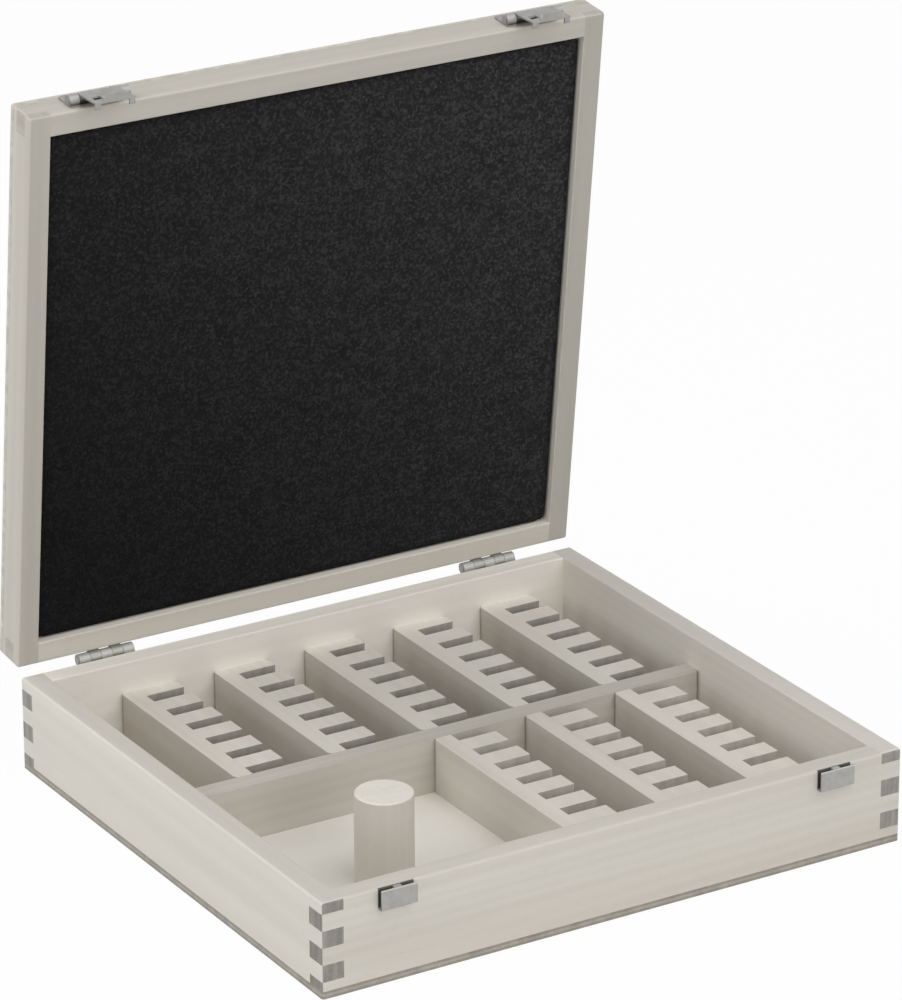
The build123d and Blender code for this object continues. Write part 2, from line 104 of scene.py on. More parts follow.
class Graph:
    """Short calls that build the node tree of a material or a world."""

    def __init__(self, owner: Union[bpy.types.Material, bpy.types.World]) -> None:
        """Start an empty tree.

        Args:
            owner: Material or world that the tree belongs to.
        """
        self.owner = owner
        owner.use_nodes = True
        self.tree = owner.node_tree
        self.tree.nodes.clear()

    def node(self, kind: str, **settings: object) -> bpy.types.Node:
        """Add a node.

        Args:
            kind: Blender's type name of the node.
            **settings: Properties to set on it.

        Returns:
            The new node.
        """
        made = self.tree.nodes.new(kind)
        for key, value in settings.items():
            setattr(made, key, value)
        return made

    def feed(self, socket: Socket, value: object) -> None:
        """Link a socket to an input, or set the input where the value is plain."""
        if isinstance(value, bpy.types.NodeSocket):
            self.tree.links.new(value, socket)
        else:
            socket.default_value = value

    def maths(self, operation: str, a: Number, b: Number = 0.0, clamp: bool = False) -> Socket:
        """Work out one operation on two numbers.

        Args:
            operation: Name of the operation, such as MULTIPLY.
            a: First number or socket.
            b: Second number or socket.
            clamp: Whether the result stays from 0 to 1.

        Returns:
            The result.
        """
        made = self.node("ShaderNodeMath", operation=operation, use_clamp=clamp)
        self.feed(made.inputs[0], a)
        self.feed(made.inputs[1], b)
        return made.outputs[0]

    def span(self, value: Number, reach: Range, gives: Range = (0.0, 1.0)) -> Socket:
        """Map a range of numbers to another, held at its ends.

        Args:
            value: Number or socket to map.
            reach: Start and end of the range read.
            gives: Start and end of the range given.

        Returns:
            The mapped number.
        """
        made = self.node("ShaderNodeMapRange", clamp=True)
        for socket, given in zip(made.inputs, (value, *reach, *gives)):
            self.feed(socket, given)
        return made.outputs[0]

    def split(self, vector: Socket) -> list[Socket]:
        """Give the X, Y and Z parts of a vector."""
        made = self.node("ShaderNodeSeparateXYZ")
        self.feed(made.inputs[0], vector)
        return list(made.outputs)

    def blend(self, share: Number, a: object, b: object, mode: str = "MIX") -> Socket:
        """Mix two colours.

        Args:
            share: Share of the second colour.
            a: First colour.
            b: Second colour.
            mode: How the colours mix.

        Returns:
            The mixed colour.
        """
        made = self.node("ShaderNodeMix", data_type="RGBA", blend_type=mode)
        self.feed(made.inputs[0], share)
        self.feed(made.inputs[MIX_FIRST], a)
        self.feed(made.inputs[MIX_SECOND], b)
        return made.outputs[MIX_RESULT]

    def tint(self, colour: object, factor: Socket) -> Socket:
        """Multiply a colour by a factor."""
        return self.blend(1.0, colour, factor, "MULTIPLY")

    def place(self, vector: Socket, turn: Sequence[float] = (0, 0, 0), shift: Sequence[float] = (0, 0, 0),
              stretch: Sequence[float] = PLAIN, kind: str = "POINT") -> Socket:
        """Turn, shift and stretch a vector.

        Args:
            vector: Vector to change.
            turn: Angles about X, Y and Z.
            shift: Shift after the turn.
            stretch: Factors along each axis, taken before the turn.
            kind: Kind of mapping.

        Returns:
            The changed vector.
        """
        made = self.node("ShaderNodeMapping", vector_type=kind)
        self.feed(made.inputs["Vector"], vector)
        if kind == "POINT":
            made.inputs["Location"].default_value = shift
        made.inputs["Rotation"].default_value = turn
        made.inputs["Scale"].default_value = stretch
        return made.outputs[0]

    def noise(self, where: Socket, clouds: Clouds) -> Socket:
        """Read cloudy noise at a place.

        Args:
            where: Place of the noise.
            clouds: How the noise looks.

        Returns:
            The noise, from 0 to 1.
        """
        if clouds.stretch != PLAIN:
            where = self.place(where, stretch=clouds.stretch)
        made = self.node("ShaderNodeTexNoise")
        self.feed(made.inputs["Vector"], where)
        made.inputs["Scale"].default_value = clouds.scale
        made.inputs["Detail"].default_value = clouds.detail
        made.inputs["Roughness"].default_value = clouds.rough
        return made.outputs[0]

    def bump(self, height: Socket, depth: float, strength: float) -> Socket:
        """Turn a height into a surface normal.

        Args:
            height: Height, from 0 to 1.
            depth: Depth of a height of 1, in metres.
            strength: Share of the effect.

        Returns:
            The normal.
        """
        made = self.node("ShaderNodeBump")
        made.inputs["Strength"].default_value = strength
        made.inputs["Distance"].default_value = depth
        self.feed(made.inputs["Height"], height)
        return made.outputs[0]

    def mix_shaders(self, share: Socket, a: Socket, b: Socket) -> Socket:
        """Mix two shaders by the share of the second."""
        made = self.node("ShaderNodeMixShader")
        for socket, given in zip(made.inputs, (share, a, b)):
            self.feed(socket, given)
        return made.outputs[0]

    def seen(self) -> Socket:
        """Give 1 to the camera and to mirrored rays, and 0 to the rays that light the scene."""
        ray = self.node("ShaderNodeLightPath")
        return self.maths("MAXIMUM", ray.outputs["Is Camera Ray"], ray.outputs["Is Glossy Ray"])

    def close(self, shader: Socket, kind: str = "ShaderNodeOutputMaterial") -> None:
        """Lead a shader to the tree's output, which is of the given kind."""
        self.feed(self.node(kind).inputs[0], shader)

    def finish(self, colour: Socket, rough: Number, normal: Socket, metal: float = 0.0,
               gloss: float = 0.5) -> bpy.types.Material:
        """Close a material's tree with the surface shader.

        Args:
            colour: Surface colour.
            rough: Roughness.
            normal: Surface normal.
            metal: 1 for metal, otherwise 0.
            gloss: Level of the plain gloss.

        Returns:
            The finished material.
        """
        shader = self.node("ShaderNodeBsdfPrincipled")
        self.feed(shader.inputs["Base Color"], colour)
        self.feed(shader.inputs["Roughness"], rough)
        self.feed(shader.inputs["Normal"], normal)
        shader.inputs["Metallic"].default_value = metal
        shader.inputs["Specular IOR Level"].default_value = gloss
        self.close(shader.outputs[0])
        return self.owner


def material_graph(name: str) -> Graph:
    """Start the tree of a new material."""
    return Graph(bpy.data.materials.new(name))


def solid(colour: Colour) -> tuple[float, float, float, float]:
    """Give a colour with full cover."""
    return (*colour, 1.0)


def flat_reach(node: str, turn: Sequence[float], axis: int) -> Range:
    """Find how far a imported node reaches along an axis, once a turn has laid it flat.

    Args:
        node: Name of the node.
        turn: Angles of the turn.
        axis: 0, 1 or 2 for X, Y or Z.

    Returns:
        The lowest and the highest place.
    """
    points = np.array([vertex.co for vertex in frame["nodes"][node].data.vertices])
    along = points @ np.array(Euler(turn).to_matrix())[axis]
    return float(along.min()), float(along.max())


@dataclass(frozen=True)
class PocketShade:
    """Painted shade on the wood inside the two keepers, which are mirrored about the middle of the case."""

    keeper: str = "keeper_right"
    board: str = "body_front_wall"
    # The painted shade lies a little inside the keeper's outline, with a soft edge.
    inset: float = 0.2 * MM
    top_inset: float = 0.1 * MM
    soft: float = 0.3 * MM
    # Depths under the board's face between which the painted shade ends.
    depth: Range = (0.6 * MM, 1.2 * MM)
    # Factor of the painted shade where it is darkest.
    tone: float = 0.10

    def shade(self, graph: Graph, where: Socket) -> Socket:
        """Work out a factor of painted shade that is low inside the pockets and 1 elsewhere.

        Args:
            graph: Graph that gets the nodes.
            where: Place on the board.

        Returns:
            The factor.
        """
        low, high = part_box(self.keeper)
        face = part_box(self.board)[0].y
        bottom, top = low.z + self.inset, high.z - self.top_inset
        half_width = (high.x - low.x) / 2 - self.inset
        half_height = (top - bottom) / 2
        x, y, z = graph.split(where)
        from_keeper = graph.maths("SUBTRACT", graph.maths("ABSOLUTE", x), (low.x + high.x) / 2)
        aside = graph.maths("ABSOLUTE", from_keeper)
        above = graph.maths("ABSOLUTE", graph.maths("SUBTRACT", z, (bottom + top) / 2))
        inside = graph.maths("MULTIPLY",
                             graph.span(aside, (half_width, half_width + self.soft), (1.0, 0.0)),
                             graph.span(above, (half_height, half_height + self.soft), (1.0, 0.0)))
        near_face = graph.span(y, (face + self.depth[0], face + self.depth[1]), (1.0, 0.0))
        inside = graph.maths("MULTIPLY", inside, near_face)
        return graph.span(inside, (0.0, 1.0), (1.0, self.tone))


@dataclass(frozen=True)
class WoodFinish:
    """Planed pale wood: growth rings about a pith beside the board, soft figure, fibres and pores."""

    light: Colour = (0.72, 0.685, 0.62)
    dark: Colour = (0.575, 0.535, 0.47)

    # Place of a board in its log: along it, and aside and up from the pith, with steps by the board's seed.
    log_step: float = 0.37
    pith: Range = (0.055, 0.075)
    pith_steps: Range = (0.013, 0.017)
    pith_cycles: tuple[int, int] = (5, 3)

    # The log's axis is tilted a little against the board, so its rings leave long arches on the faces.
    log_tilt: Triple = (0.0, 0.035, 0.05)
    ring_stretch: Triple = (0.08, 1.0, 1.0)
    ring_gap: float = 5.5 * MM
    ring_distortion: float = 7.0
    ring_detail: float = 3.0
    ring_detail_scale: float = 0.5
    ring_share: float = 0.16

    figure: Clouds = Clouds(46.0, 3.0, 0.55, (0.035, 1.0, 1.0))
    figure_reach: Range = (0.30, 0.70)
    figure_share: float = 0.52
    fibre: Clouds = Clouds(1500.0, 2.0, 0.6, (0.03, 1.0, 1.0))
    fibre_reach: Range = (0.2, 0.8)
    fibre_share: float = 0.20
    pore: Clouds = Clouds(2100.0, 1.0, 0.5, (0.10, 1.0, 1.0))
    pore_reach: Range = (0.66, 0.74)
    pore_share: float = 0.06

    # A face across the grain shows the cut fibres: darker, with fine dots and upright bands.
    end_facing: Range = (0.60, 0.80)
    end_tone: float = 0.41
    dots: Clouds = Clouds(1300.0, 2.0, 0.6)
    dot_reach: Range = (0.3, 0.7)
    dot_spread: Range = (-0.04, 0.06)
    bands: Clouds = Clouds(240.0, 1.0, 0.5, (1.0, 1.0, 0.12))
    band_reach: Range = (0.35, 0.65)
    end_bands: Range = (0.78, 1.08)

    # Painted light and shade: factors on the level faces, and on the side whose turned Y normal has the sign
    # of side_way.
    face_facing: Range = (0.70, 0.95)
    rim_painted_light: float = 1.0
    side_way: float = 1.0
    side_painted_light: float = 1.0

    rough: float = 0.52
    rough_spread: Range = (-0.06, 0.08)
    gloss: float = 0.35
    relief: float = 0.12 * MM
    relief_share: float = 0.5

    def make(self, name: str, grain: Grain, seed: int,
             pockets: Optional[PocketShade] = None) -> bpy.types.Material:
        """Build the material of one board.

        Args:
            name: Name of the material.
            grain: Way of the board's grain.
            seed: Number that gives each board its own place in the log.
            pockets: Places on the board behind a fitting, which get painted shade.

        Returns:
            The material.
        """
        graph = material_graph(name)
        where = graph.node("ShaderNodeTexCoord").outputs
        aside, up = (base + step * (seed % cycle)
                     for base, step, cycle in zip(self.pith, self.pith_steps, self.pith_cycles))
        board = graph.place(where["Object"], grain.value, (self.log_step * seed, aside, up))
        fibre = graph.noise(board, self.fibre)
        pore = graph.span(graph.noise(board, self.pore), self.pore_reach)
        colour = graph.tint(self.long_grain(graph, board, fibre),
                            graph.span(pore, (0.0, 1.0), (1.0, 1.0 - self.pore_share)))

        along, across, level = graph.split(graph.place(where["Normal"], grain.value, kind="VECTOR"))
        colour = graph.tint(colour, self.end_grain(graph, board, along))
        # Painted light and shade on the level faces.
        if self.rim_painted_light != 1.0:
            rim = graph.maths("ABSOLUTE", level)
            colour = graph.tint(colour, graph.span(rim, self.face_facing, (1.0, self.rim_painted_light)))
        # Painted light and shade on one side.
        if self.side_painted_light != 1.0:
            side = graph.maths("MULTIPLY", across, self.side_way)
            colour = graph.tint(colour, graph.span(side, self.face_facing, (1.0, self.side_painted_light)))
        # Painted shade behind the fittings.
        if pockets is not None:
            colour = graph.tint(colour, pockets.shade(graph, where["Object"]))

        height = graph.maths("MULTIPLY", graph.maths("SUBTRACT", fibre, pore), self.relief_share)
        rough = graph.span(fibre, self.fibre_reach,
                           (self.rough + self.rough_spread[0], self.rough + self.rough_spread[1]))
        return graph.finish(colour, rough, graph.bump(height, self.relief, self.relief_share),
                            gloss=self.gloss)

    def long_grain(self, graph: Graph, board: Socket, fibre: Socket) -> Socket:
        """Work out the colour along the grain from rings, figure and fibres.

        Args:
            graph: Graph that gets the nodes.
            board: Place in the log, with the grain along X.
            fibre: Noise of the fibres.

        Returns:
            The colour.
        """
        ring = graph.node("ShaderNodeTexWave", wave_type="RINGS", rings_direction="X", wave_profile="SIN")
        graph.feed(ring.inputs["Vector"], graph.place(board, self.log_tilt, stretch=self.ring_stretch))
        ring.inputs["Scale"].default_value = 2.0 * math.pi / (WAVE_RATE * self.ring_gap)
        ring.inputs["Distortion"].default_value = self.ring_distortion
        ring.inputs["Detail"].default_value = self.ring_detail
        ring.inputs["Detail Scale"].default_value = self.ring_detail_scale
        figure = graph.span(graph.noise(board, self.figure), self.figure_reach)
        shade = graph.maths("MULTIPLY", ring.outputs["Fac"], self.ring_share)
        shade = graph.maths("ADD", shade, graph.maths("MULTIPLY", figure, self.figure_share))
        shade = graph.maths("ADD", shade, graph.maths("MULTIPLY", fibre, self.fibre_share), clamp=True)
        return graph.blend(shade, solid(self.light), solid(self.dark))

    def end_grain(self, graph: Graph, board: Socket, along: Socket) -> Socket:
        """Work out the factor that darkens faces across the grain.

        Args:
            graph: Graph that gets the nodes.
            board: Place in the log, with the grain along X.
            along: Part of the normal that runs along the grain.

        Returns:
            The factor, 1 on the other faces.
        """
        end = graph.span(graph.maths("ABSOLUTE", along), self.end_facing)
        dots = graph.span(graph.noise(board, self.dots), self.dot_reach,
                          (self.end_tone + self.dot_spread[0], self.end_tone + self.dot_spread[1]))
        bands = graph.span(graph.noise(board, self.bands), self.band_reach, self.end_bands)
        tone = graph.maths("MULTIPLY", end, graph.maths("MULTIPLY", dots, bands))
        return graph.maths("ADD", tone, graph.maths("SUBTRACT", 1.0, end))


@dataclass(frozen=True)
class VeneerFinish:
    """Thin panel: a plain peeled face veneer, and three layers that show at its edge."""

    light: Colour = (0.88, 0.85, 0.79)
    dark: Colour = (0.81, 0.775, 0.71)
    figure: Clouds = Clouds(24.0, 4.0, 0.55, (0.10, 1.0, 1.0))
    figure_reach: Range = (0.32, 0.68)
    figure_share: float = 0.7
    fibre: Clouds = Clouds(1300.0, 2.0, 0.6, (0.04, 1.0, 1.0))
    fibre_share: float = 0.3

    # The core's half thickness is a share of the panel's thickness, with a soft change to the outer layers.
    edge: Colour = (0.33, 0.30, 0.255)
    edge_core: Colour = (0.43, 0.395, 0.34)
    core_reach: Range = (0.14, 0.19)
    grime: Clouds = Clouds(160.0, 3.0, 0.6)
    grime_reach: Range = (0.3, 0.7)
    grime_tone: Range = (0.78, 1.1)
    face_facing: Range = (0.45, 0.75)

    rough: float = 0.50
    gloss: float = 0.35
    relief: float = 0.08 * MM
    relief_share: float = 0.4

    def make(self, node: str, turn: Triple, shift: Triple) -> bpy.types.Material:
        """Build the material of one panel.

        Args:
            node: Name of the panel's node.
            turn: Angles that lay the panel flat.
            shift: Shift of the pattern.

        Returns:
            The material.
        """
        graph = material_graph(f"{node}_veneer")
        where = graph.node("ShaderNodeTexCoord").outputs
        flat = graph.place(where["Object"], turn)
        board = graph.place(flat, shift=shift)
        fibre = graph.noise(board, self.fibre)
        figure = graph.span(graph.noise(board, self.figure), self.figure_reach)
        shade = graph.maths("ADD", graph.maths("MULTIPLY", figure, self.figure_share),
                            graph.maths("MULTIPLY", fibre, self.fibre_share))
        colour = graph.blend(shade, solid(self.light), solid(self.dark))

        bottom, top = flat_reach(node, turn, 2)
        depth = graph.maths("DIVIDE", graph.maths("SUBTRACT", graph.split(flat)[2], bottom), top - bottom)
        from_middle = graph.maths("ABSOLUTE", graph.maths("SUBTRACT", depth, 0.5))
        core = graph.span(from_middle, self.core_reach, (1.0, 0.0))
        layers = graph.blend(core, solid(self.edge), solid(self.edge_core))
        grime = graph.span(graph.noise(flat, self.grime), self.grime_reach, self.grime_tone)
        layers = graph.tint(layers, grime)
        upright = graph.split(graph.place(where["Normal"], turn, kind="VECTOR"))[2]
        face = graph.span(graph.maths("ABSOLUTE", upright), self.face_facing)
        return graph.finish(graph.blend(face, layers, colour), self.rough,
                            graph.bump(fibre, self.relief, self.relief_share), gloss=self.gloss)


@dataclass(frozen=True)
class FoamFinish:
    """Dark fine-celled foam: nearly black, with a tone for each grain, small pits, painted light that grows
    towards the right and the top, and painted shade at the cut edge.
    """

    skin: Colour = (0.0125, 0.0125, 0.0135)
    fleck: Colour = (0.058, 0.058, 0.060)

    # Pits in the relief, one in each cell, and fine roughness over them.
    cell: float = 1.1 * MM
    pit_reach: Range = (0.10, 0.75)
    fine: Clouds = Clouds(900.0, 3.0, 0.7)
    fine_reach: Range = (0.35, 0.65)
    fine_tone: Range = (0.6, 1.2)
    fine_height: float = 0.6

    # Each grain of the foam has a tone of its own, and a few are pale.
    grain: float = 1.3 * MM
    grain_softness: float = 0.6
    grain_reach: Range = (0.35, 0.95)
    grain_tone: Range = (0.0, 0.85)
    cloud: Clouds = Clouds(70.0, 2.0, 0.5)
    cloud_reach: Range = (0.3, 0.7)
    cloud_tone: Range = (0.0, 0.10)

    # Painted light, which grows towards the right end and the top of the open lid.
    painted_light_right: float = 0.8
    painted_light_up: float = 0.5
    painted_light_reach: Range = (-0.05, 0.25)
    painted_light_tone: Range = (0.28, 1.22)
    # Painted shade on the cut edge, where it lies against the rails.
    border_shade_tone: float = 0.12

    rough: float = 0.92
    gloss: float = 0.12
    relief: float = 0.5 * MM
    relief_share: float = 0.8

    def make(self, name: str, border: str) -> bpy.types.Material:
        """Build the foam's material.

        Args:
            name: Name of the material.
            border: Name of the mesh's attribute that goes from 0 on the cut edge to 1 inside, and places the
                painted shade.

        Returns:
            The material.
        """
        graph = material_graph(name)
        where = graph.node("ShaderNodeTexCoord").outputs["Object"]
        fine = graph.noise(where, self.fine)
        grains = graph.node("ShaderNodeTexVoronoi", feature="SMOOTH_F1")
        graph.feed(grains.inputs["Vector"], where)
        grains.inputs["Scale"].default_value = 1.0 / self.grain
        grains.inputs["Smoothness"].default_value = self.grain_softness
        tone = graph.node("ShaderNodeRGBToBW")
        graph.feed(tone.inputs[0], grains.outputs["Color"])
        share = graph.maths("MULTIPLY", graph.span(tone.outputs[0], self.grain_reach, self.grain_tone),
                            graph.span(fine, self.fine_reach, self.fine_tone))
        cloud = graph.span(graph.noise(where, self.cloud), self.cloud_reach, self.cloud_tone)
        share = graph.maths("ADD", share, cloud, clamp=True)
        colour = graph.blend(share, solid(self.skin), solid(self.fleck))

        # Painted light, growing towards the right and the top.
        right, _, up = graph.split(where)
        way = graph.maths("ADD", graph.maths("MULTIPLY", right, self.painted_light_right),
                          graph.maths("MULTIPLY", up, self.painted_light_up))
        colour = graph.tint(colour, graph.span(way, self.painted_light_reach, self.painted_light_tone))
        # Painted shade along the cut edge.
        edge = graph.node("ShaderNodeAttribute", attribute_name=border, attribute_type="GEOMETRY")
        colour = graph.tint(colour, graph.span(edge.outputs["Fac"], (0.0, 1.0), (self.border_shade_tone, 1.0)))

        cells = graph.node("ShaderNodeTexVoronoi", feature="F1")
        graph.feed(cells.inputs["Vector"], where)
        cells.inputs["Scale"].default_value = 1.0 / self.cell
        pit = graph.span(cells.outputs["Distance"], self.pit_reach)
        height = graph.maths("ADD", pit, graph.maths("MULTIPLY", fine, self.fine_height))
        return graph.finish(colour, self.rough, graph.bump(height, self.relief, self.relief_share),
                            gloss=self.gloss)


@dataclass(frozen=True)
class SteelFinish:
    """Pressed and plated steel: fine brushing one way, faint smudges, and painted shade on the inner side of
    the flaps.
    """

    tone: Colour = (0.375, 0.37, 0.355)
    rough: float = 0.62
    rough_spread: Range = (-0.05, 0.10)
    brush: Clouds = Clouds(5200.0, 2.0, 0.6, (0.05, 1.0, 1.0))
    smudge: Clouds = Clouds(240.0, 3.0, 0.6)
    smudge_reach: Range = (0.3, 0.7)
    smudge_tone: Range = (0.86, 1.10)
    rough_reach: Range = (0.25, 0.75)
    # Factor of the painted shade on a flap's inner side.
    inner_shade_tone: float = 0.16
    relief: float = 0.03 * MM
    relief_share: float = 0.5

    def make(self, name: str, grain: Grain, inner_shade: Optional[Range] = None) -> bpy.types.Material:
        """Build the steel's material.

        Args:
            name: Name of the material.
            grain: Way of the brushing.
            inner_shade: Places along the turned Y axis between which the steel goes over to the painted shade
                of its inner side.

        Returns:
            The material.
        """
        graph = material_graph(name)
        where = graph.node("ShaderNodeTexCoord").outputs["Object"]
        board = graph.place(where, grain.value)
        smudge = graph.noise(where, self.smudge)
        colour = graph.tint(solid(self.tone), graph.span(smudge, self.smudge_reach, self.smudge_tone))
        # Painted shade on the flaps' inner side.
        if inner_shade is not None:
            colour = graph.tint(colour, graph.span(graph.split(board)[1], inner_shade, (1.0, self.inner_shade_tone)))
        rough = graph.span(smudge, self.rough_reach,
                           (self.rough + self.rough_spread[0], self.rough + self.rough_spread[1]))
        brushing = graph.bump(graph.noise(board, self.brush), self.relief, self.relief_share)
        return graph.finish(colour, rough, brushing, metal=1.0)


def dress(node: str, material: bpy.types.Material) -> None:
    """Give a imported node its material."""
    slots = frame["nodes"][node].data.materials
    slots.clear()
    slots.append(material)


def grid_mesh(name: str, points: np.ndarray, closed_v: bool, poles: bool) -> bpy.types.Object:
    """Make a mesh from a grid of points.

    Args:
        name: Name of the object.
        points: Points as rows along u and columns along v, with three numbers each.
        closed_v: Whether the last column joins the first.
        poles: Whether the first and last rows each close to one point.

    Returns:
        The object, in the scene.
    """
    rows = points[1:-1] if poles else points
    columns = rows.shape[1]
    index = np.arange(rows.shape[0] * columns).reshape(-1, columns)
    ahead = np.roll(index, -1, axis=1)
    if not closed_v:
        index, ahead = index[:, :-1], ahead[:, :-1]
    quads = np.stack([index[:-1], ahead[:-1], ahead[1:], index[1:]], axis=-1).reshape(-1, 4)
    vertices = rows.reshape(-1, 3)
    faces = quads.tolist()
    if poles:
        first, last = len(vertices), len(vertices) + 1
        vertices = np.vstack([vertices, points[0, 0], points[-1, 0]])
        start = np.stack([np.full(columns, first), ahead[0], index[0]], axis=-1)
        end = np.stack([np.full(columns, last), index[-1], ahead[-1]], axis=-1)
        faces += start.tolist() + end.tolist()
    mesh = bpy.data.meshes.new(name)
    mesh.from_pydata(vertices.tolist(), [], faces)
    mesh.update()
    mesh.shade_smooth()
    made = bpy.data.objects.new(name, mesh)
    bpy.context.scene.collection.objects.link(made)
    return made


@dataclass(frozen=True)
class Board:
    """One board: its node, its wood, the way of its grain and its number in the log."""

    node: str
    wood: WoodFinish
    grain: Grain
    seed: int
    pockets: Optional[PocketShade] = None

    def finish(self) -> None:
        """Give the board its wood."""
        dress(self.node, self.wood.make(f"{self.node}_wood", self.grain, self.seed, self.pockets))


@dataclass
class CaseBody:
    """Boards, bottom panel, divider, racks and post of the case's lower half."""

    # Each board's light and dark colours are partly its own and partly painted light and shade, set to how
    # much light the board gets.
    front_wood: WoodFinish = WoodFinish()
    left_wood: WoodFinish = WoodFinish(light=(0.79, 0.755, 0.69), dark=(0.67, 0.63, 0.565), rim_painted_light=0.89)
    back_wood: WoodFinish = WoodFinish(light=(0.85, 0.815, 0.75), dark=(0.74, 0.70, 0.635), rim_painted_light=1.12)
    # Painted shade on the right wall's rim.
    right_rim_painted_light: float = 0.90
    divider_wood: WoodFinish = WoodFinish(light=(0.635, 0.60, 0.54), dark=(0.47, 0.435, 0.385), rim_painted_light=1.05)
    rack_wood: WoodFinish = WoodFinish(light=(0.66, 0.625, 0.565), dark=(0.52, 0.485, 0.43), ring_share=0.12,
                                       end_tone=0.64, end_bands=(0.90, 1.05), rim_painted_light=1.27)
    front_slot_tone: float = 0.92
    # The post's grain stands upright, so its top is end grain; an end_tone above 1 lightens the top, painted
    # light.
    post_wood: WoodFinish = WoodFinish(light=(0.69, 0.66, 0.60), ring_share=0.08, figure_share=0.28,
                                       fibre_share=0.14, end_tone=1.26, end_bands=(0.98, 1.02))
    veneer: VeneerFinish = VeneerFinish()
    veneer_shift: Triple = (0.3, 0.1, 0.0)
    first_rack_seed: int = 8

    def build(self) -> None:
        """Dress each wooden piece of the lower half."""
        right_wood = replace(self.back_wood, rim_painted_light=self.right_rim_painted_light)
        boards = [
            # The front wall gets painted shade behind the keepers.
            Board("body_front_wall", self.front_wood, Grain.ALONG_X, 1, PocketShade()),
            Board("body_back_wall", self.back_wood, Grain.ALONG_X, 2),
            Board("body_left_wall", self.left_wood, Grain.ALONG_Y, 3),
            Board("body_right_wall", right_wood, Grain.ALONG_Y, 4),
            Board("cutter_post", self.post_wood, Grain.ALONG_Z, 5),
            Board("divider", self.divider_wood, Grain.ALONG_X, 7),
        ]
        racks = sorted(name for name in frame["nodes"] if name.startswith("rack_"))
        front_rack_wood = replace(self.rack_wood, end_tone=self.front_slot_tone)
        for seed, node in enumerate(racks, start=self.first_rack_seed):
            wood = front_rack_wood if node.startswith("rack_front") else self.rack_wood
            boards.append(Board(node, wood, Grain.ALONG_Y, seed))
        for board in boards:
            board.finish()
        dress("bottom_panel", self.veneer.make("bottom_panel", Grain.ALONG_X.value, self.veneer_shift))
        log.info("lower half dressed: %d boards, of which %d are racks", len(boards), len(racks))


